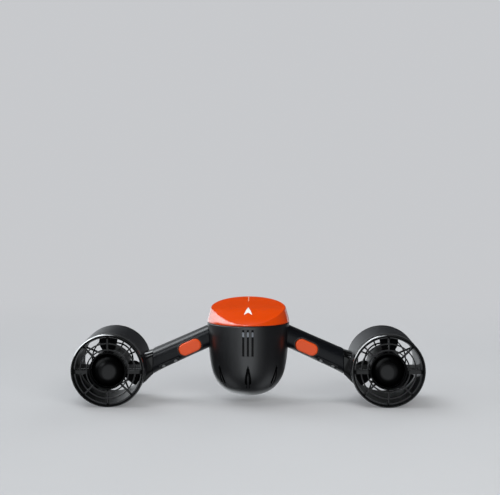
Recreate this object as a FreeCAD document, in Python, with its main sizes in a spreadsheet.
# Twin-thruster underwater scooter: a bullet-shaped hull hangs between two ducted
# thrusters on two sloping grip arms.  Millimetres, +Z up, origin on the floor under
# the hull's axis, +X to the rider's right, -Y towards the rider (water leaves the
# ducts towards -Y), +Y the direction of travel.
import FreeCAD, Part
import Sketcher
import os
import math

Vector = FreeCAD.Vector
doc = FreeCAD.newDocument("underwater_scooter")

# ----------------------------------------------------------------------------
# driving dimensions: alias, value, note
# ----------------------------------------------------------------------------
DIMS = [
    ("duct_x", 194.0, "thruster axis, distance from the middle"),
    ("duct_z", 51.0, "thruster axis height"),
    ("ring_rad", 51.0, "outside radius of a thruster"),
    ("duct_half", 56.0, "half the length of a thruster"),
    ("band_len", 15.0, "length of the glossy outlet band"),
    ("shell_in", 47.9, "inside radius of the nacelle shell"),
    ("liner_out", 47.7, "outside radius of the duct liner"),
    ("bore_rad", 45.6, "flow bore radius"),
    ("prop_rad", 44.5, "propeller tip radius"),
    ("hub_rad", 25.0, "motor fairing and propeller hub radius"),
    ("cup_in", 22.8, "inside radius of the motor cup"),
    ("web_rad_a", 38.0, "outer concentric web of the outlet grille"),
    ("web_rad_b", 29.3, "inner concentric web of the outlet grille"),
    ("web_wide", 1.8, "width of a concentric web"),
    ("spoke_thin", 2.2, "width of a thin spoke"),
    ("spoke_thick", 4.8, "width of a horizontal spoke"),
    ("seam_z", 113.0, "height of the joint between hull and cap"),
    ("hull_rad", 58.0, "hull radius at the joint"),
    ("hull_wall", 3.6, "hull wall"),
    ("cap_gap", 0.4, "shut line between cap and hull"),
    ("cap_wall", 2.8, "cap wall"),
    ("bay_out", 42.2, "battery bay outside radius"),
    ("bay_in", 40.4, "battery bay inside radius"),
    ("pack_rad", 39.6, "battery pack radius"),
    ("cell_rad", 9.15, "battery cell radius"),
    ("plug_in", 41.4, "cap plug skirt inside radius"),
    ("plug_out", 44.4, "cap plug skirt outside radius"),
    ("lug_rad", 47.6, "bayonet lug radius"),
    ("collar_bore", 44.8, "bayonet collar bore"),
    ("collar_notch", 48.1, "bayonet entry notch radius"),
    ("collar_out", 53.6, "bayonet collar outside radius"),
    ("arm_x", 57.5, "arm axis start, distance from the middle"),
    ("arm_z", 92.5, "arm axis start height"),
    ("arm_tilt", 24.15, "arm slope below the horizontal"),
    ("button_long", 33.0, "trigger button length"),
    ("button_wide", 17.5, "trigger button width"),
    ("button_u", 28.0, "trigger button centre along the arm"),
    ("button_w", -2.3, "trigger button centre across the arm"),
    ("shaft_rad", 2.5, "motor shaft radius"),
    ("bearing_rad", 4.98, "bearing outside radius"),
    ("insert_rad", 4.2, "camera insert outside radius"),
    ("insert_hole", 2.6, "camera insert hole radius"),
]


class Bound:
    """A number together with the spreadsheet expression that gives it."""

    def __init__(self, text, value):
        self.text = text
        self.value = float(value)

    def __add__(self, other):
        other = bound(other)
        return Bound("(%s + %s)" % (self.text, other.text), self.value + other.value)

    def __sub__(self, other):
        other = bound(other)
        return Bound("(%s - %s)" % (self.text, other.text), self.value - other.value)

    def __mul__(self, other):
        other = bound(other)
        return Bound("(%s * %s)" % (self.text, other.text), self.value * other.value)

    def __rmul__(self, other):
        return bound(other) * self

    def __truediv__(self, other):
        other = bound(other)
        return Bound("(%s / %s)" % (self.text, other.text), self.value / other.value)

    def __neg__(self):
        return Bound("(0 - %s)" % self.text, -self.value)


def bound(number):
    """Any number as a Bound one."""
    if isinstance(number, Bound):
        return number
    if number < 0:
        return Bound("(0 - %.6f)" % -number, number)
    return Bound("%.6f" % number, number)


class Dims:
    """The driving dimensions by alias, each one Bound to its cell."""


dim = Dims()
sheet = doc.addObject("Spreadsheet::Sheet", "dims")
for row, (alias, value, note) in enumerate(DIMS, 1):
    sheet.set("A%d" % row, note)
    sheet.set("B%d" % row, str(value))
    sheet.setAlias("B%d" % row, alias)
    setattr(dim, alias, Bound("dims.%s" % alias, value))
doc.recompute()

TILT = dim.arm_tilt.value
COS_TILT = Bound("cos(dims.arm_tilt * 1 deg)", math.cos(math.radians(TILT)))
SIN_TILT = Bound("sin(dims.arm_tilt * 1 deg)", math.sin(math.radians(TILT)))

ORIGIN = (0, 0, 0)
X_AXIS, Y_AXIS, Z_AXIS = Vector(1, 0, 0), Vector(0, 1, 0), Vector(0, 0, 1)
UPRIGHT = FreeCAD.Rotation()
ALONG_Y = FreeCAD.Rotation(X_AXIS, -90)  # local Z becomes +Y
ALONG_X = FreeCAD.Rotation(Y_AXIS, 90)  # local Z becomes +X
IN_ARM = FreeCAD.Rotation(Y_AXIS, TILT)  # local X runs down the right-hand arm
ALONG_ARM = FreeCAD.Rotation(Y_AXIS, 90 + TILT)  # local Z runs down the right-hand arm

# ----------------------------------------------------------------------------
# document objects
# ----------------------------------------------------------------------------
made = []


def unique(name):
    made.append(name)
    return "%s_%03d" % (name, len(made))


def new(kind, name):
    return doc.addObject(kind, unique(name))


def fixed(pos):
    """Position as a plain vector of numbers."""
    return Vector(*[bound(p).value for p in pos])


def place(item, pos, rot=UPRIGHT):
    item.Placement = FreeCAD.Placement(fixed(pos), rot)
    for axis, p in zip("xyz", pos):
        if isinstance(p, Bound):
            item.setExpression("Placement.Base." + axis, p.text)
    return item


def size(item, **properties):
    for key, number in properties.items():
        setattr(item, key, bound(number).value)
        if isinstance(number, Bound):
            item.setExpression(key, number.text)
    return item


def cylinder(radius, length, pos, rot=UPRIGHT):
    item = size(new("Part::Cylinder", "cylinder"), Radius=radius, Height=length)
    return place(item, pos, rot)


def box(size_x, size_y, size_z, pos, rot=UPRIGHT):
    item = size(new("Part::Box", "box"), Length=size_x, Width=size_y, Height=size_z)
    return place(item, pos, rot)


def fuse(*shapes):
    item = new("Part::MultiFuse", "fuse")
    item.Shapes = list(shapes)
    return item


def cut(base, *tools):
    tool = tools[0] if len(tools) == 1 else fuse(*tools)
    item = new("Part::Cut", "cut")
    item.Base, item.Tool = base, tool
    return item


def common(base, tool):
    item = new("Part::Common", "common")
    item.Base, item.Tool = base, tool
    return item


def group(*shapes):
    item = new("Part::Compound", "group")
    item.Links = list(shapes)
    return item


def feature(shape, name):
    item = new("Part::Feature", name)
    item.Shape = shape
    return item


def mirrored(source):
    item = new("Part::Mirroring", "mirror")
    item.Source = source
    item.Base = Vector(0, 0, 0)
    item.Normal = X_AXIS
    return item


def fillet(base, radius, wanted):
    """Round the edges that wanted(edge) chooses."""
    doc.recompute()
    item = new("Part::Fillet", "fillet")
    item.Base = base
    edges = enumerate(base.Shape.Edges, 1)
    item.Edges = [(i, radius, radius) for i, edge in edges if wanted(edge)]
    return item


# ----------------------------------------------------------------------------
# sketches and turned bodies
# ----------------------------------------------------------------------------
def new_body(name):
    return new("PartDesign::Body", name)


def new_sketch(body, role, offset=0.0):
    sketch = body.newObject("Sketcher::SketchObject", unique("sketch"))
    plane = [f for f in body.Origin.OriginFeatures if f.Role == role][0]
    sketch.AttachmentSupport = [(plane, "")]
    sketch.MapMode = "FlatFace"
    if offset:
        sketch.AttachmentOffset = FreeCAD.Placement(Vector(0, 0, offset), UPRIGHT)
    return sketch


def add_line(sketch, start, end, construction=False):
    return sketch.addGeometry(Part.LineSegment(Vector(*start, 0), Vector(*end, 0)), construction)


def polygon(sketch, points):
    """A closed polygon whose corners are held to the sheet by named constraints."""
    corners = [(bound(a), bound(b)) for a, b in points]
    plain = [(a.value, b.value) for a, b in corners]
    lines = [add_line(sketch, *ends) for ends in zip(plain, plain[1:] + plain[:1])]
    for k, line in enumerate(lines):
        sketch.addConstraint(Sketcher.Constraint("Coincident", lines[k - 1], 2, line, 1))
    for k, (line, (a, b)) in enumerate(zip(lines, corners)):
        for axis, coord, zero_line in (("X", a, -2), ("Y", b, -1)):
            if abs(coord.value) < 1e-9:
                sketch.addConstraint(Sketcher.Constraint("PointOnObject", line, 1, zero_line))
                continue
            # a distance has to be positive, so its ends swap for a negative coordinate
            ends, distance = (-1, 1, line, 1), coord
            if coord.value < 0:
                ends, distance = (line, 1, -1, 1), -coord
            constraint = Sketcher.Constraint("Distance" + axis, *ends, distance.value)
            index = sketch.addConstraint(constraint)
            name = "p%d%s" % (k, axis.lower())
            sketch.renameConstraint(index, name)
            if "dims." in distance.text:
                sketch.setExpression("Constraints." + name, distance.text)


def spline(points, start=None, end=None):
    """Curve through the points, with optional tangents at both ends."""
    curve = Part.BSplineCurve()
    tangents = {}
    if start is not None:
        tangents = {"InitialTangent": Vector(*start, 0), "FinalTangent": Vector(*end, 0)}
    curve.interpolate(Points=[Vector(a, b, 0) for a, b in points], **tangents)
    return curve


def draw(sketch, *pieces):
    """Add curves, and chains of lines through lists of corners."""
    for piece in pieces:
        if isinstance(piece, list):
            for start, end in zip(piece, piece[1:]):
                add_line(sketch, start, end)
        else:
            sketch.addGeometry(piece, False)


def spin(body, sketch, kind="Revolution", axis="V_Axis", angle=360):
    """Revolution or groove of a sketch, as the body's tip."""
    item = body.newObject("PartDesign::" + kind, unique(kind.lower()))
    item.Profile = sketch
    item.ReferenceAxis = (sketch, [axis])
    item.Angle = angle
    body.Tip = item
    sketch.Visibility = False
    return item


def turned(name, points, pos=ORIGIN, rot=UPRIGHT):
    """Body turned about its local Z from (radius, height) corners."""
    body = new_body(name)
    sketch = new_sketch(body, "XZ_Plane")
    polygon(sketch, points)
    spin(body, sketch)
    return place(body, pos, rot)


def turned_curve(name, *pieces):
    """Body turned about Z from curves and chains of lines in (radius, height)."""
    body = new_body(name)
    sketch = new_sketch(body, "XZ_Plane")
    draw(sketch, *pieces)
    spin(body, sketch)
    return body


def sector(inner, outer, low, high, middle, width):
    """Part of an upright ring, width degrees wide about the middle angle."""
    item = size(new("Part::Cylinder", "sector"), Radius=outer, Height=high - low)
    item.Angle = width
    place(item, (0, 0, low), FreeCAD.Rotation(Z_AXIS, middle - width / 2.0))
    return cut(item, cylinder(inner, high - low + 2, (0, 0, low - 1)))


def polar(radius, angle):
    return (radius * math.cos(math.radians(angle)), radius * math.sin(math.radians(angle)))


# ----------------------------------------------------------------------------
# right-hand thruster frame and arm frame
# ----------------------------------------------------------------------------
def duct_pos(y):
    return (dim.duct_x, y, dim.duct_z)


def duct(name, points):
    """Turned about the thruster's axis from (radius, y) corners."""
    return turned(name, points, duct_pos(0), ALONG_Y)


def duct_ring(inner, outer, y0, y1):
    return duct("ring", [(inner, y0), (outer, y0), (outer, y1), (inner, y1)])


def duct_cylinder(radius, y0, y1):
    return cylinder(radius, bound(y1) - y0, duct_pos(y0), ALONG_Y)


def on_duct(shape, angle):
    """Turn a plain shape about Y and carry it to the thruster's axis."""
    shape.rotate(Vector(0, 0, 0), Y_AXIS, angle)
    shape.translate(fixed(duct_pos(0)))
    return shape


def arm_pos(u, v, w):
    """Point in the arm's frame: u along the arm, v = +Y, w across it, upwards."""
    u, v, w = bound(u), bound(v), bound(w)
    return (dim.arm_x + u * COS_TILT + w * SIN_TILT, v, dim.arm_z - u * SIN_TILT + w * COS_TILT)


def arm_box(u0, u1, v0, v1, w0, w1):
    u0, v0, w0 = bound(u0), bound(v0), bound(w0)
    return box(bound(u1) - u0, bound(v1) - v0, bound(w1) - w0, arm_pos(u0, v0, w0), IN_ARM)


def button_slab(length, width, v0, v1):
    """Stadium-ended block along Y, centred on the trigger button."""
    u, w = dim.button_u, dim.button_w
    length, width, depth = bound(length), bound(width), bound(v1) - v0
    radius = width / 2
    half = length / 2 - radius
    ends = [cylinder(radius, depth, arm_pos(end, v0, w), ALONG_Y) for end in (u - half, u + half)]
    middle = box(half * 2, depth, width, arm_pos(u - half, v0, w - radius), IN_ARM)
    slab = fuse(*ends, middle)
    slab.Refine = True
    return slab


# ----------------------------------------------------------------------------
# finished pieces by label
# ----------------------------------------------------------------------------
NODES = {}


def node(label, item):
    item.Label = label
    NODES[label] = item


def pair(label, item):
    """A right-hand piece and its mirror image as two pieces."""
    node("right_" + label, item)
    node("left_" + label, mirrored(item))


def both_sides(label, item):
    """A right-hand item and its mirror image as one piece."""
    node(label, group(item, mirrored(item)))


# ----------------------------------------------------------------------------
# hull profile and its offsets
# ----------------------------------------------------------------------------
SEAM = dim.seam_z.value
BLOCK_TOP = SEAM + 4  # top of the blocks that follow the hull's surface

# hull outline: (radius, height) from the bottom of the axis up to the joint
HULL = [
    (0, 9.5), (13, 10.15), (25.5, 13.4), (35.3, 19.0), (44.0, 28.4), (50.2, 41.0),
    (53.6, 56.0), (55.7, 73.0), (57.3, 95.0), (dim.hull_rad.value, SEAM),
]
HULL_TANGENTS = ((26, 0), (0.5, 18))
OFFSET_TANGENTS = ((1, 0), (0.03, 1))
OFFSET_STEPS = 26
hull_curve = spline(HULL, *HULL_TANGENTS)


def hull_points(depth):
    """Points at a depth inside the hull's outline; a negative depth lies outside."""
    points = []
    first, last = hull_curve.FirstParameter, hull_curve.LastParameter
    for k in range(OFFSET_STEPS + 1):
        at = first + (last - first) * k / OFFSET_STEPS
        point, along = hull_curve.value(at), hull_curve.tangent(at)[0]
        radius = max(point.x - along.y * depth, 0.0) if k else 0.0
        points.append((radius, point.y + along.x * depth))
    return points


def hull_outline(depth, top):
    """Closed outline of the hull at a depth, carried straight up to top."""
    points = hull_points(depth)
    radius, height = points[-1]
    lines = [(radius, height), (radius, top), (0, top), (0, points[0][1])]
    return spline(points, *OFFSET_TANGENTS), lines


def hull_block(depth):
    return turned_curve("hull_block", *hull_outline(depth, BLOCK_TOP))


def make_hull_core():
    """The bare hull wall, with a chamfered rim."""
    rim = (57.96, 112.4)
    outer = spline(HULL[:-1] + [rim], *HULL_TANGENTS)
    body = turned_curve("hull_core", outer, [rim, (57.4, SEAM), (0, SEAM), HULL[0]])
    doc.recompute()
    solid_volume = body.Shape.Volume
    sketch = new_sketch(body, "XZ_Plane")
    draw(sketch, *hull_outline(dim.hull_wall.value, SEAM + 2))
    groove = spin(body, sketch, "Groove")
    doc.recompute()
    if groove.Shape.Volume > solid_volume * 0.98:
        raise RuntimeError("the groove in the hull cut nothing")
    return body


hull_core = make_hull_core()
bottom_boss = cylinder(7.2, 11.5, (0, 0, 10.8))
posts = [cylinder(3.4, 10.0, (24 * sx, 12 * sy, 16.0)) for sx in (-1, 1) for sy in (-1, 1)]
hull_bossed = fuse(hull_core, bottom_boss, *posts)

# ----------------------------------------------------------------------------
# recesses that follow the hull's surface: eight lancet flutes and three slots
# ----------------------------------------------------------------------------
FLUTE_ANGLES = [turn + angle for turn in (0, 180) for angle in (0, 48.5, 90, 131.5)]
SLOT_X = (-6.4, 0.0, 6.4)
TOOL_Y, TOOL_DEPTH = -75, 30  # start and length along Y of the slot tools
LENS_SPANS = ((71.5, 26.4), (105.8, 2.5))  # bottom, height
INFILL_WIDTH = 2.6  # lenses and contacts


def lancet(half, tip, low):
    """Prism along Y of a pointed arch: half width, heights of its tip and lowest point."""
    shoulder = low + half * 0.9
    side = [
        (0, tip),
        (half * 0.50, tip - (tip - low) * 0.28),
        (half * 0.86, tip - (tip - low) * 0.58),
        (half, shoulder),
    ]
    right, left = Part.BSplineCurve(), Part.BSplineCurve()
    right.interpolate(Points=[Vector(x, 0, z) for x, z in side])
    left.interpolate(Points=[Vector(-x, 0, z) for x, z in reversed(side)])
    arc = Part.Arc(Vector(half, 0, shoulder), Vector(0, 0, low), Vector(-half, 0, shoulder))
    face = Part.Face(Part.Wire([right.toShape(), arc.toShape(), left.toShape()]))
    face.translate(Vector(0, TOOL_Y, 0))
    return face.extrude(Vector(0, 60, 0))


def make_flutes():
    """Eight flutes, each a lancet with a slimmer one left standing in it."""
    flute = lancet(4.7, 58.8, 29.0).cut(lancet(1.9, 53.0, 24.0))
    flutes = []
    for angle in FLUTE_ANGLES:
        turned_flute = flute.copy()
        turned_flute.rotate(Vector(0, 0, 0), Z_AXIS, angle)
        flutes.append(turned_flute)
    return feature(Part.makeCompound(flutes), "flute_tools")


def slot_box(x, width, low, height):
    return box(width, TOOL_DEPTH, height, (x - width / 2, TOOL_Y, low))


recess_floor = hull_block(1.9)
recess_layer = cut(hull_block(-1.0), recess_floor)
flute_recess = common(make_flutes(), recess_layer)
slot_recess = common(fuse(*[slot_box(x, 2.8, 71.4, 37.0) for x in SLOT_X]), recess_layer)

lens_tools = [slot_box(x, INFILL_WIDTH, *span) for x in SLOT_X for span in LENS_SPANS]
lens_layer = cut(hull_block(0.35), recess_floor)
node("indicator_lenses", common(group(*lens_tools), lens_layer))

contact_tools = [slot_box(x, INFILL_WIDTH, 98.7, 6.4) for x in SLOT_X]
contact_layer = cut(hull_block(-0.25), recess_floor)
node("sensor_contacts", common(group(*contact_tools), contact_layer))

# ----------------------------------------------------------------------------
# hull shell and camera insert
# ----------------------------------------------------------------------------
ROOT_SCREW_V, ROOT_SCREW_W = 13.2, -5.2  # screws at the root of an arm

socket = fuse(
    arm_box(-14, 6, -10.2, 10.2, -8.2, 8.2),
    *[cylinder(1.6, 24, arm_pos(-14, side * ROOT_SCREW_V, ROOT_SCREW_W), ALONG_ARM)
      for side in (1, -1)],
)
insert_seat = cylinder(9.0, 3.0, (0, 0, 6.95))
insert_bore = cylinder(dim.insert_rad, 9.8, (0, 0, 9.0))
node("hull_shell", cut(hull_bossed, flute_recess, slot_recess, socket, mirrored(socket),
                       insert_seat, insert_bore))

node("camera_insert", turned("camera_insert", [
    (dim.insert_hole, 10.0), (dim.insert_rad, 10.0), (dim.insert_rad, 18.7),
    (0, 18.7), (0, 18.2), (dim.insert_hole, 18.2),
]))

# ----------------------------------------------------------------------------
# battery bay, collar, seal, contacts, controller
# ----------------------------------------------------------------------------
CONTACTS = [polar(20, angle) for angle in (90, 210, 330)]
COLLAR_SCREWS = [polar(50.7, 30 + 60 * k) for k in range(6)]
NOTCH_ANGLE = 31.0
LUG_ANGLE = 25.0
OPEN_AT = 45.0  # turn between the lugs and the entry notches
BOARD_Z, BOARD_THICK = 26.05, 1.6

bay = turned("battery_bay", [
    (0, 38), (38.4, 38), (dim.bay_out, 41.8), (dim.bay_out, 96.4), (53.0, 96.4),
    (53.0, 98.0), (dim.bay_in, 98.0), (dim.bay_in, 40.0), (0, 40.0),
])
contact_holes = [cylinder(1.52, 6, (*spot, 36)) for spot in CONTACTS]
flange_holes = [cylinder(1.3, 6, (*spot, 94)) for spot in COLLAR_SCREWS]
node("battery_bay", cut(bay, *contact_holes, *flange_holes))
node("bay_contacts", group(*[
    fuse(cylinder(1.5, 8.2, (*spot, 34.0)), cylinder(3.0, 1.6, (*spot, 36.3)))
    for spot in CONTACTS
]))

collar = turned("collar", [
    (dim.collar_notch, 98.05), (dim.collar_out, 98.05), (dim.collar_out, 112.4),
    (52.5, 112.4), (52.5, 110.9), (49.9, 110.9), (49.9, 112.4),
    (dim.collar_bore, 112.4), (dim.collar_bore, 105.0), (dim.collar_notch, 105.0),
])
notches = [sector(30, dim.collar_notch, 104.0, 113.5, 90 + OPEN_AT + 120 * k, NOTCH_ANGLE)
           for k in range(3)]
collar_holes = [cylinder(1.2, 7, (*spot, 97)) for spot in COLLAR_SCREWS]
node("bayonet_collar", cut(collar, *notches, *collar_holes))
node("collar_screws", group(*[
    fuse(cylinder(1.18, 9.2, (*spot, 94.4)), cylinder(2.1, 1.8, (*spot, 94.5)))
    for spot in COLLAR_SCREWS
]))
seal = size(new("Part::Torus", "seal"), Radius1=51.2, Radius2=1.19)
node("cap_seal", place(seal, (0, 0, 112.2)))


def make_controller():
    """Round board with two rows of chips and two round parts."""
    board = cut(cylinder(33.0, BOARD_THICK, (0, 0, BOARD_Z)), cylinder(5.5, 4, (0, 0, 25)))
    top = BOARD_Z + BOARD_THICK
    parts = []
    for row_y in ((11, 14, 11, 14), (-20,) * 4):
        parts += [box(10, 8, 2.4, (-26 + 13 * k, y, top)) for k, y in enumerate(row_y)]
    parts += [cylinder(4.4, 5.6, (x, 0, top)) for x in (-13, 13)]
    return group(board, *parts)


node("controller_board", make_controller())

# ----------------------------------------------------------------------------
# battery pack
# ----------------------------------------------------------------------------
CELL_LENGTH, CELL_Z = 65.0, 44.2

case = turned("battery_case", [
    (0, 42.4), (dim.pack_rad, 42.4), (dim.pack_rad, 110.2), (38.0, 110.2), (38.0, 44.0), (0, 44.0),
])
node("battery_case", cut(case, *[cylinder(3.02, 1.0, (*spot, 41.9)) for spot in CONTACTS]))
node("battery_terminals", group(*[cylinder(3.0, 0.48, (*spot, 42.41)) for spot in CONTACTS]))
cell_spots = [polar(10.66, 90 + 120 * k) for k in range(3)]
cell_spots += [polar(28.3, 110 + 40 * k) for k in range(9)]
node("battery_cells", group(*[
    cylinder(dim.cell_rad, CELL_LENGTH, (*spot, CELL_Z)) for spot in cell_spots
]))
node("battery_lid", turned("battery_lid", [
    (1.6, 110.3), (dim.pack_rad, 110.3), (dim.pack_rad, 112.9),
    (7.0, 112.9), (7.0, 116.05), (1.6, 116.05),
]))
node("cap_pivot_screw", turned("cap_pivot_screw", [
    (0, 110.6), (1.58, 110.6), (1.58, 116.1), (9.5, 116.1), (9.5, 117.4), (8.9, 118.0), (0, 118.0),
]))

# ----------------------------------------------------------------------------
# cap
# ----------------------------------------------------------------------------
CAP_Z = SEAM + dim.cap_gap.value
CAP_WALL = dim.cap_wall.value
MARK_DEPTH = 0.7
CROWN = 900.0  # how far below the joint the crown's axis lies

# cap flank: (radius, height)
FLANK = [
    (dim.hull_rad.value, CAP_Z + 0.7), (57.35, CAP_Z + 4.5), (55.9, CAP_Z + 10.0),
    (52.35, CAP_Z + 22.3), (48.4, CAP_Z + 36.0),
]
# cap top in the middle plane: (y, height above the joint)
TOP = [
    (-66, -4.4), (-57, 2.7), (-54, 4.8), (-51.8, 6.2), (-46.6, 9.3), (-38.5, 13.1),
    (-26, 18.4), (0, 23.3), (26, 27.6), (50, 31.3), (66, 33.4),
]


def top_tool(drop):
    """Block above the cap's top face, lowered by drop, with a slight sideways crown."""
    body = new_body("cap_top")
    sketch = new_sketch(body, "YZ_Plane")
    points = [(y, z + SEAM - drop) for y, z in TOP]
    high = SEAM + 60
    draw(sketch, spline(points), [points[-1], (66, high), (-66, high), points[0]])
    add_line(sketch, (-100, SEAM - CROWN), (100, SEAM - CROWN), construction=True)
    spin(body, sketch, axis="Axis0", angle=10).Midplane = True
    return body


def is_crease(edge):
    bounds = edge.BoundBox
    return bounds.ZMin > CAP_Z + 0.9 and edge.Length > 30 and bounds.ZMax > CAP_Z + 4


def round_crease(block):
    """Round the crease with the largest radius that works."""
    doc.recompute()
    for radius in (1.3, 1.0, 0.7, 0.4):
        item = fillet(block, radius, is_crease)
        # guards a radius that can't be built here: the next smaller one follows
        try:
            doc.recompute()
            shape = item.Shape
            if (shape.isValid() and not shape.isNull()
                    and shape.Volume > 0.9 * block.Shape.Volume
                    and "Invalid" not in item.State):
                return item
        except Exception:
            pass
        doc.removeObject(item.Name)
    return block


def make_cap_mark(block):
    """Arrow and index line let into the cap's top face."""
    outline = [(0, -10.5), (-5.8, -36.5), (0, -30.5), (5.8, -36.5), (0, -10.5)]
    arrow = Part.Face(Part.makePolygon([Vector(x, y, 0) for x, y in outline]))
    arrow.translate(Vector(0, 0, 100))
    arrow_tool = feature(arrow.extrude(Vector(0, 0, 60)), "arrow")
    tools = group(arrow_tool, box(1.3, 25, 60, (-0.65, 22, 100)))
    lowered = block.Shape.copy()
    lowered.translate(Vector(0, 0, -MARK_DEPTH))
    return common(tools, cut(block, feature(lowered, "cap_lowered")))


def make_cap_void():
    """Room inside the cap, one wall in from its flank and top."""
    foot = (FLANK[0][0] - CAP_WALL, CAP_Z - 1.0)
    flank = [foot] + [(radius - CAP_WALL, z) for radius, z in FLANK[1:]]
    top = flank[-1]
    block = turned_curve("cap_inside", spline(flank), [top, (0, top[1]), (0, foot[1]), foot])
    return cut(block, top_tool(CAP_WALL))


cap_block = turned_curve("cap_block", spline(FLANK), [
    FLANK[-1], (0, FLANK[-1][1]), (0, CAP_Z), (57.3, CAP_Z), FLANK[0],
])
cap_cut = cut(cap_block, top_tool(0.0))
cap_round = round_crease(cap_cut)
cap_mark = make_cap_mark(cap_cut)
disc_seat = cylinder(54.9, 3.6, (0, 0, CAP_Z - 1.0))
node("cap_mark", cap_mark)
node("cap_shell", cut(cap_round, make_cap_void(), disc_seat, cap_mark))

plug_disc = turned("plug_disc", [(7.1, CAP_Z), (54.7, CAP_Z), (54.7, 116.0), (7.1, 116.0)])
plug_skirt = turned("plug_skirt", [
    (dim.plug_in, 101.2), (dim.plug_out, 101.2),
    (dim.plug_out, CAP_Z + 0.5), (dim.plug_in, CAP_Z + 0.5),
])
lugs = [sector(43.0, dim.lug_rad, 101.3, 104.4, 90 + 120 * k, LUG_ANGLE) for k in range(3)]
plug_bore = cylinder(dim.plug_in, 13.0, (0, 0, 100.4))
node("cap_plug", cut(fuse(plug_disc, plug_skirt, *lugs), plug_bore))

# ----------------------------------------------------------------------------
# grip arm (right-hand; the left is its mirror image)
# ----------------------------------------------------------------------------
ARM_END = 134.6  # x of the upright plane where the arm ends
COVER_START, COVER_END = 48.5, 79.0  # cover opening along the arm
COVER_SCREW_U = (54.5, 73.0)
COVER_SCREWS = [(u, side) for u in COVER_SCREW_U for side in (-1, 1)]
CORNER_V, CORNER_W = 8.35, -5.8  # start of a cover screw's diagonal line
NACELLE_SCREW_Y = 6.5
# screws from the thruster into the arm: height, x of the head seat, x of the tip
NACELLE_SCREWS = [(54.0, 144.9, 127.6), (62.0, 145.7, 126.0)]
CABLE_RAD = 1.5
CABLE_CLEARANCE = 0.12

# arm sections: place along the arm, half depth in Y, half height, corner radius
ARM_SECTIONS = [
    (-16, 16.4, 14.0, 9.0), (0, 16.8, 14.3, 9.0), (30, 17.2, 14.4, 9.0), (60, 17.5, 14.8, 9.2),
    (82, 18.2, 15.4, 9.6), (96, 19.8, 17.0, 10.6), (110, 22.6, 20.0, 12.0),
]
SADDLE_SECTIONS = [
    (74.0, 16.9, 14.3, 8.6), (80.0, 17.1, 14.5, 8.6), (88.0, 18.0, 15.6, 9.0),
    (96.0, 20.4, 18.0, 10.8), (110, 25.0, 22.8, 12.8),
]


def rounded_rectangle(sketch, half_a, half_b, radius):
    a, b = half_a - radius, half_b - radius
    quarter = math.pi / 2
    # each side's start and end, then the centre and quadrant of the arc after it
    sides = [
        ((-a, half_b), (a, half_b), (a, b), 0),
        ((half_a, b), (half_a, -b), (a, -b), 3),
        ((a, -half_b), (-a, -half_b), (-a, -b), 2),
        ((-half_a, -b), (-half_a, b), (-a, b), 1),
    ]
    for start, end, centre, quadrant in sides:
        add_line(sketch, start, end)
        circle = Part.Circle(Vector(*centre, 0), Z_AXIS, radius)
        arc = Part.ArcOfCircle(circle, quadrant * quarter, (quadrant + 1) * quarter)
        sketch.addGeometry(arc, False)


def arm_loft(sections, name):
    body = new_body(name)
    sketches = []
    for u, half_depth, half_height, radius in sections:
        sketch = new_sketch(body, "YZ_Plane", u)
        rounded_rectangle(sketch, half_depth, half_height, radius)
        sketch.Visibility = False
        sketches.append(sketch)
    loft = body.newObject("PartDesign::AdditiveLoft", unique("loft"))
    loft.Profile = sketches[0]
    loft.Sections = sketches[1:]
    loft.Ruled = False
    body.Tip = loft
    return place(body, (dim.arm_x, 0, dim.arm_z), IN_ARM)


def corner_screw(radius, d0, d1, u, side):
    """Cylinder on the 45 degree line out through a lower corner, between two depths."""
    k = math.sqrt(0.5)
    outwards = Vector(-k * SIN_TILT.value, side * k, -k * COS_TILT.value)
    pos = arm_pos(u, side * CORNER_V + side * k * d1, CORNER_W - k * d1)
    return cylinder(radius, d1 - d0, pos, FreeCAD.Rotation(Z_AXIS, -outwards))


def nacelle_screw(radius, x0, x1, z):
    return cylinder(radius, x1 - x0, (x0, NACELLE_SCREW_Y, z), ALONG_X)


def tube(points, radius):
    """Round tube along straight runs, with balls at the bends."""
    shapes = [Part.makeCylinder(radius, (end - start).Length, start, end - start)
              for start, end in zip(points, points[1:])]
    shapes += [Part.makeSphere(radius, point) for point in points[1:-1]]
    shape = shapes[0].multiFuse(shapes[1:])
    return shape.removeSplitter() if shape.isValid() else shape


# motor cable: from the hull through the arm, then on to the motor cup
duct_x, duct_z = dim.duct_x.value, dim.duct_z.value
cable_start = [fixed(point) for point in (
    (30.5, 7.0, 29.5), (38.5, 7.0, 33.0), (43.5, 7.0, 40.5), (46.3, 7.0, 56.0), (47.3, 7.0, 80.0),
    arm_pos(-7.5, 4.5, -2.0), arm_pos(8, 4.5, -2.0), arm_pos(14, 7.5, 9.0), arm_pos(60, 7.5, 9.0),
)]
cable_end = [fixed(point) for point in (
    arm_pos(73, -4.0, 1.0), arm_pos(84, -10.0, 0.0),
    (duct_x - 47.0, -12.5, duct_z), (duct_x - 44.0, -14.0, duct_z),
    (duct_x - 25.5, -37.2, duct_z), (duct_x - 23.0, -39.9, duct_z),
    (duct_x - 19.6, -39.9, duct_z),
)]
cable = feature(tube(cable_start + cable_end, CABLE_RAD), "cable")
cable_room = feature(tube(cable_end, CABLE_RAD + CABLE_CLEARANCE), "cable_room")
both_sides("motor_cables", cable)

arm_skin = arm_loft(ARM_SECTIONS, "arm_skin")
nacelle_holes = [nacelle_screw(1.32, tip - 0.4, 150.0, z) for z, seat, tip in NACELLE_SCREWS]


def at_arm_end(edge):
    return all(abs(point.x - ARM_END) < 0.02 for point in edge.discretize(5))


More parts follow.
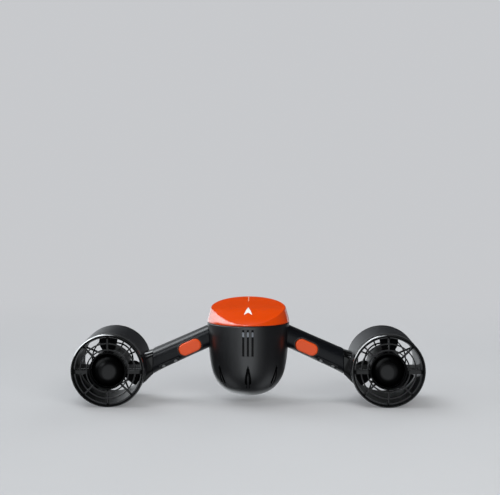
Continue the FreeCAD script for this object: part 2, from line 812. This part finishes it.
def make_arm():
    """Hollow arm shell with a spigot for the hull's socket."""
    end_tool = box(60, 120, 120, (ARM_END, -60, 0))
    outer = fillet(cut(arm_skin, end_tool, hull_block(-0.15)), 1.1, at_arm_end)
    spigot = arm_box(-8.2, 2, -10, 10, -8, 8)
    hollow = arm_box(8, 74, -12.6, 12.6, -11.2, 11.2)
    passage = arm_box(-16, 10, -7, 7, -5, 5)
    cover_opening = arm_box(COVER_START, COVER_END, -30, 30, -26, -8.0)
    hollowed = cut(fuse(outer, spigot), hollow, passage, cover_opening)

    cover_posts = [arm_box(u - 4.2, u + 4.2, v0, v1, -8.0, -2.6)
                   for u in COVER_SCREW_U for v0, v1 in ((-13.0, -3.6), (3.6, 13.0))]
    button_posts = [cylinder(2.0, 13.2, arm_pos(dim.button_u + du, 0.65, 5.0), ALONG_Y)
                    for du in (-10.5, 10.5)]
    built = fuse(hollowed, *cover_posts, *button_posts)

    window = button_slab(dim.button_long + 0.6, dim.button_wide + 0.6, -24, -13)
    flange_room = button_slab(37.0, 20.4, -13.3, -8.6)
    collar_clear = cylinder(dim.collar_out + 0.3, 60, (0, 0, 55))
    screw_holes = [corner_screw(1.22, -1.6, 9.0, *spot) for spot in COVER_SCREWS]
    root_holes = [cylinder(1.5, 13, arm_pos(-4, side * ROOT_SCREW_V, ROOT_SCREW_W), ALONG_ARM)
                  for side in (-1, 1)]
    return cut(built, window, flange_room, collar_clear, *screw_holes, *root_holes,
               *nacelle_holes, cable_room)


def make_saddle():
    """Separate flared collar that beds the arm's end on the thruster."""
    nacelle_clear = duct_cylinder(dim.ring_rad + 0.12, -70, 70)
    arm_side = box(60, 120, 120, (ARM_END + 0.15 - 60, -60, 0))
    skin = arm_loft(SADDLE_SECTIONS, "saddle_skin")
    return cut(skin, nacelle_clear, arm_side, *nacelle_holes, cable_room)


def make_cover():
    """Cover on the underside of the arm."""
    span = arm_box(COVER_START + 0.2, COVER_END - 0.2, -30, 30, -26, -8.35)
    return cut(common(arm_skin, span), arm_box(59.5, 68.0, -12.6, 12.6, -11.6, -4.0),
               *[corner_screw(1.35, -1.6, 12.0, *spot) for spot in COVER_SCREWS],
               *[corner_screw(2.6, 7.1, 12.0, *spot) for spot in COVER_SCREWS])


def make_end_screws():
    """Two screws at the arm's root and two from the thruster."""
    screws = []
    for side in (-1, 1):
        v = side * ROOT_SCREW_V
        shank = cylinder(1.48, 13.5, arm_pos(-6.5, v, ROOT_SCREW_W), ALONG_ARM)
        head = cylinder(2.7, 1.8, arm_pos(-7.3, v, ROOT_SCREW_W), ALONG_ARM)
        screws.append(fuse(shank, head))
    for z, seat, tip in NACELLE_SCREWS:
        shank = nacelle_screw(1.3, tip, seat + 0.5, z)
        head = nacelle_screw(2.4, seat + 0.05, seat + 1.2, z)
        screws.append(fuse(shank, head))
    return group(*screws)


pair("arm_shell", make_arm())
pair("arm_saddle", make_saddle())
pair("arm_cover", make_cover())
both_sides("arm_cover_screws", group(*[
    fuse(corner_screw(1.2, -1.2, 7.6, *spot), corner_screw(2.45, 7.15, 8.75, *spot))
    for spot in COVER_SCREWS
]))
both_sides("arm_end_screws", make_end_screws())

# ----------------------------------------------------------------------------
# trigger button, magnet, spring, sensor board, on the rider's side of the arm
# ----------------------------------------------------------------------------
BUTTON_FACE = -19.8  # y of the button's face
SPRING_RAD, SPRING_WIRE_RAD, SPRING_LENGTH, SPRING_TURNS = 6.0, 0.45, 9.3, 5


def button_cylinder(radius, length, v):
    return cylinder(radius, length, arm_pos(dim.button_u, v, dim.button_w), ALONG_Y)


def make_button():
    flange = button_slab(36.0, 19.4, -13.1, -11.9)
    face = button_slab(dim.button_long, dim.button_wide, BUTTON_FACE, -12.5)
    face_round = fillet(face, 2.4, lambda edge: edge.BoundBox.YMax < BUTTON_FACE + 0.1)
    stem = button_cylinder(4.4, 5.6, -12.2)
    magnet_pocket = button_cylinder(2.52, 1.6, -8.1)
    return cut(fuse(face_round, flange, stem), magnet_pocket)


def make_sensor():
    """Sensor board with a small chip on its rider's side."""
    u = dim.button_u
    board = arm_box(u - 13.5, u + 13.5, -1.0, 0.6, -8.5, 8.5)
    return fuse(board, arm_box(u - 1.5, u + 1.5, -2.2, -0.9, -4.2, -0.3))


def make_spring():
    helix = Part.makeLongHelix(SPRING_LENGTH / SPRING_TURNS, SPRING_LENGTH, SPRING_RAD)
    circle = Part.Circle(Vector(SPRING_RAD, 0, 0), Y_AXIS, SPRING_WIRE_RAD)
    profile = Part.Wire(circle.toShape())
    coil = Part.Wire(helix.Edges).makePipeShell([profile], True, True)
    spring = feature(coil, "trigger_spring")
    start = fixed(arm_pos(dim.button_u, -11.35, dim.button_w))
    spring.Placement = FreeCAD.Placement(start, ALONG_Y)
    return spring


pair("trigger_button", make_button())
pair("trigger_magnet", button_cylinder(2.5, 1.4, -8.08))
both_sides("trigger_sensors", make_sensor())
pair("trigger_spring", make_spring())

# ----------------------------------------------------------------------------
# thruster housing (right-hand; the left is its mirror image)
# ----------------------------------------------------------------------------
OUTLET_Y = -dim.duct_half  # outlet end of the thruster
BAND_Y = dim.band_len - dim.duct_half  # where the outlet band meets the nacelle shell


def make_nacelle():
    blank = duct("nacelle_blank", [
        (dim.shell_in, BAND_Y + 0.4), (dim.ring_rad - 0.5, BAND_Y + 0.4),
        (dim.ring_rad, BAND_Y + 0.9), (dim.ring_rad, 46.6),
        (dim.ring_rad - 0.4, 47.0), (dim.shell_in, 47.0),
    ])
    counterbores = [nacelle_screw(2.5, seat, 156.0, z) for z, seat, tip in NACELLE_SCREWS]
    bores = [nacelle_screw(1.4, 135.0, 156.0, z) for z, seat, tip in NACELLE_SCREWS]
    return cut(blank, *counterbores, *bores, cable_room)


def make_liner():
    """Duct liner with the motor cup on two flat struts."""
    liner_tube = duct_ring(dim.bore_rad, dim.liner_out, -49.8, 46.8)
    cup = duct("motor_cup", [
        (5.0, -42), (5.0, -13), (6.4, -13), (6.4, -42), (dim.cup_in, -42),
        (dim.cup_in, -6), (dim.hub_rad, -6), (dim.hub_rad, -45), (0, -45), (0, -42),
    ])
    reach = dim.bore_rad + 1.0
    bar = box(2 * reach, 33, 5.4, (dim.duct_x - reach, -41, dim.duct_z - 2.7))
    bar_round = fillet(bar, 2.5, lambda edge: edge.BoundBox.XLength > 50)
    struts = cut(bar_round, duct_cylinder(dim.hub_rad - 1.0, -60, 60))
    return cut(fuse(liner_tube, cup, struts), cable_room)


def spoke(angle, length, depth, width, y, drop=0.0):
    """Bar across the duct, turned by angle and set off its axis by drop."""
    rot = FreeCAD.Rotation(Y_AXIS, angle)
    offset = rot.multVec(Vector(-length / 2, 0, -bound(width).value / 2 - drop))
    return box(length, depth, width, (dim.duct_x + offset.x, y, dim.duct_z + offset.z), rot)


def make_outlet():
    """Outlet grille: rim, hub ring, two webs and four bars, the horizontal one thick."""
    rim = duct("outlet_rim", [
        (47.2, OUTLET_Y + 0.6), (47.8, OUTLET_Y), (dim.ring_rad - 1.4, OUTLET_Y),
        (dim.ring_rad - 0.45, OUTLET_Y + 0.45), (dim.ring_rad, OUTLET_Y + 1.5),
        (dim.ring_rad, BAND_Y), (dim.shell_in, BAND_Y), (dim.shell_in, -50.0), (47.2, -50.0),
    ])
    half_web = dim.web_wide / 2
    webs = [duct_ring(radius - half_web, radius + half_web, -54.6, -51.2)
            for radius in (dim.web_rad_a, dim.web_rad_b)]
    hub_ring = duct_ring(23.7, 25.8, -55.0, -45.2)
    spokes = [spoke(0, 95.6, 7.4, dim.spoke_thick, -55.2, drop=1.4)]
    spokes += [spoke(angle, 95.6, 4.6, dim.spoke_thin, -55.0) for angle in (45, 90, 135)]
    middle = duct_cylinder(24.2, -60, -40)
    liner_room = duct_ring(dim.bore_rad - 0.2, dim.ring_rad, -50.0, -40.0)
    return fuse(rim, hub_ring, cut(fuse(*webs, *spokes), middle, liner_room))


def make_intake():
    """Intake grille: rim, centre disc, three webs and four bars."""
    rim = duct("intake_rim", [
        (dim.shell_in - 2.3, 47.3), (dim.ring_rad, 47.3), (dim.ring_rad, 50.0),
        (dim.ring_rad - 0.5, 52.4), (dim.ring_rad - 1.6, 54.4), (dim.ring_rad - 3.0, 55.6),
        (dim.ring_rad - 4.2, 56.0), (46.0, 55.2), (45.6, 53.6),
    ])
    webs = [duct_ring(radius - 0.9, radius + 0.9, 49.4, 53.0) for radius in (14.0, 24.5, 35.0)]
    centre = duct_cylinder(6.0, 49.0, 53.4)
    spokes = [spoke(45 * k + 22.5, 93.0, 4.4, 2.0, 48.8) for k in range(4)]
    return fuse(rim, centre, *webs, *spokes)


def duct_dome(name, outer, inner):
    """Hollow dome on the thruster's axis between two curves in (radius, y)."""
    outer_points, outer_tangents = outer
    inner_points, inner_tangents = inner
    body = turned_curve(
        name,
        spline(outer_points, *outer_tangents), [outer_points[-1], inner_points[0]],
        spline(inner_points, *inner_tangents), [inner_points[-1], outer_points[0]],
    )
    return place(body, duct_pos(0), ALONG_Y)


# tail cone over the motor cup: (radius, y) points, then end tangents
TAIL_OUTER = (
    [(0, -56.0), (7.0, -55.6), (13.5, -54.2), (18.8, -51.7), (22.2, -48.4), (23.5, -45.1)],
    ((8, 0), (0.6, 4)),
)
TAIL_INNER = (
    [(21.2, -45.1), (19.6, -48.2), (16.8, -50.4), (12.6, -52.0), (6.6, -53.2), (0, -53.5)],
    (),
)

pair("nacelle_shell", make_nacelle())
pair("duct_liner", make_liner())
pair("outlet_grille", make_outlet())
pair("tail_cone", duct_dome("tail_cone", TAIL_OUTER, TAIL_INNER))
pair("intake_grille", make_intake())

# ----------------------------------------------------------------------------
# motor: stator core, windings, bearings, rotor
# ----------------------------------------------------------------------------
TEETH = 9
TOOTH_PITCH = 360 // TEETH
HALF_TOOTH = 1.25
MAGNETS = 12
MAGNET_ANGLE = 26.0


def make_stator():
    """Ring with a slot between each two teeth, each slot with a narrow mouth."""
    spread = math.tan(math.radians(TOOTH_PITCH / 2))
    # one side of a slot: (radius, half width)
    side = [(radius, radius * spread - HALF_TOOTH) for radius in (9.6, 14.6)]
    side += [(14.6, 0.8), (17.2, 0.8)]
    outline = [(r, -half) for r, half in side] + side[::-1]
    outline.append(outline[0])
    slots = []
    for k in range(TEETH):
        face = Part.Face(Part.makePolygon([Vector(x, -36.5, z) for x, z in outline]))
        slots.append(on_duct(face.extrude(Vector(0, 23, 0)), TOOTH_PITCH / 2 + TOOTH_PITCH * k))
    blank = duct_ring(6.42, 16.4, -36.0, -14.0)
    return cut(blank, feature(Part.makeCompound(slots), "stator_slots"))


def make_windings():
    """A rectangular coil around each tooth."""
    coils = []
    for k in range(TEETH):
        outer = Part.makeBox(4.0, 25.2, 5.0, Vector(10.1, -37.6, -2.5))
        tooth_room = Part.makeBox(6.0, 22.6, 2.8, Vector(9.6, -36.3, -1.4))
        coils.append(on_duct(outer.cut(tooth_room), TOOTH_PITCH * k))
    return feature(Part.makeCompound(coils), "windings")


def make_magnets():
    magnets = []
    for k in range(MAGNETS):
        magnet = Part.makeCylinder(20.18, 21.0, Vector(0, 0, 0), Z_AXIS, MAGNET_ANGLE)
        magnet = magnet.cut(Part.makeCylinder(17.2, 23.0, Vector(0, 0, -1)))
        magnet.rotate(Vector(0, 0, 0), Z_AXIS, 360 / MAGNETS * k)
        magnets.append(magnet)
    item = feature(Part.makeCompound(magnets), "rotor_magnets")
    item.Placement = FreeCAD.Placement(fixed(duct_pos(-35.4)), ALONG_Y)
    return item


both_sides("stator_cores", make_stator())
pair("stator_windings", make_windings())
both_sides("motor_bearings", group(*[
    duct_ring(dim.shaft_rad + 0.03, dim.bearing_rad, y0, y1)
    for y0, y1 in ((-41.5, -37.5), (-17.0, -13.1))
]))
pair("rotor_bell", duct("rotor_bell", [
    (dim.shaft_rad, -11.0), (20.2, -11.0), (20.2, -37.2),
    (21.6, -37.2), (21.6, -8.0), (dim.shaft_rad, -8.0),
]))
pair("rotor_magnets", make_magnets())
pair("motor_shaft", duct_cylinder(dim.shaft_rad, -41.8, 27.0))

# ----------------------------------------------------------------------------
# propeller, spinner, nut
# ----------------------------------------------------------------------------
PITCH = 118.0
SECTION_STEPS = 9
BLADE_COUNT = 3
BLADE_START = 14  # angle of the first blade

# blade sections: radius, chord, thickness, skew, rake
BLADE_SECTIONS = [
    (15.0, 24.0, 5.0, 0.0, 7.6),
    (23.0, 29.0, 4.2, -0.4, 7.8),
    (31.0, 33.0, 3.2, -1.8, 8.0),
    (39.0, 32.0, 2.4, -4.2, 8.2),
    (47.5, 25.0, 1.8, -7.6, 8.4),
]
# spinner: (radius, y) points, then end tangents
SPINNER_OUTER = (
    [(25.0, 21.1), (24.4, 26.5), (21.6, 32.6), (16.0, 38.4), (8.4, 42.0), (0, 43.2)],
    ((0, 6), (-8, 0)),
)
SPINNER_INNER = (
    [(0, 40.6), (7.4, 39.6), (14.2, 36.2), (19.2, 31.2), (21.9, 25.8), (22.6, 21.1)],
    ((7, 0), (0, -5)),
)


def blade_section(radius, chord, thickness, skew, rake):
    """Closed cambered section, turned to the helix angle at its radius."""
    helix_angle = math.atan(PITCH / (2 * math.pi * radius))
    cos_helix, sin_helix = math.cos(helix_angle), math.sin(helix_angle)
    upper, lower = [], []
    for i in range(SECTION_STEPS):
        at = -0.5 + i / (SECTION_STEPS - 1.0)
        bulge = 1 - (2 * at) ** 2
        half = thickness * 0.5 * math.sqrt(max(0.0, bulge)) * (1.0 - 0.35 * at)
        camber = 0.045 * chord * bulge
        upper.append((at * chord + skew, camber + half))
        lower.append((at * chord + skew, camber - half))
    points = [
        Vector(along * cos_helix - off * sin_helix, along * sin_helix + off * cos_helix + rake,
               radius)
        for along, off in upper + lower[-2:0:-1]
    ]
    curve = Part.BSplineCurve()
    curve.interpolate(Points=points, PeriodicFlag=True)
    return Part.Wire(curve.toShape())


def make_propeller():
    hub = duct("propeller_hub", [
        (dim.shaft_rad, -8.0), (8.0, -8.0), (8.0, 17.0), (22.0, 17.0), (22.0, -5.0),
        (dim.hub_rad - 0.4, -5.0), (dim.hub_rad, -4.6), (dim.hub_rad, 20.8),
        (dim.shaft_rad, 20.8),
    ])
    blade = Part.makeLoft([blade_section(*section) for section in BLADE_SECTIONS], True, False)
    tip = Part.makeCylinder(dim.prop_rad.value, 80, Vector(0, -40, 0), Y_AXIS)
    root = Part.makeCylinder(23.2, 80, Vector(0, -40, 0), Y_AXIS)
    blade = blade.common(tip).cut(root)
    blades = [on_duct(blade.copy(), 360 / BLADE_COUNT * k + BLADE_START)
              for k in range(BLADE_COUNT)]
    return fuse(hub, feature(Part.makeCompound(blades), "blades"))


def make_nut():
    prism = new("Part::Prism", "nut")
    prism.Polygon = 6
    size(prism, Circumradius=4.9, Height=4.2)
    place(prism, duct_pos(20.85), ALONG_Y)
    return cut(prism, duct_cylinder(dim.shaft_rad, 15, 30))


pair("propeller", make_propeller())
pair("spinner", duct_dome("spinner", SPINNER_OUTER, SPINNER_INNER))
pair("propeller_nut", make_nut())

# ----------------------------------------------------------------------------
# check everything, then write
# ----------------------------------------------------------------------------
doc.recompute()
bad = [item.Label for item in doc.Objects
       if any(state in ("Invalid", "Error") for state in item.State)]
for label, item in NODES.items():
    shape = item.Shape
    if shape.isNull() or not shape.isValid() or not shape.Solids or shape.Volume <= 0:
        bad.append(label)
if bad:
    raise SystemExit("some objects failed: " + ", ".join(bad))

os.makedirs("parts", exist_ok=True)
for label, item in NODES.items():
    item.Shape.exportStep(os.path.join("parts", label + ".step"))
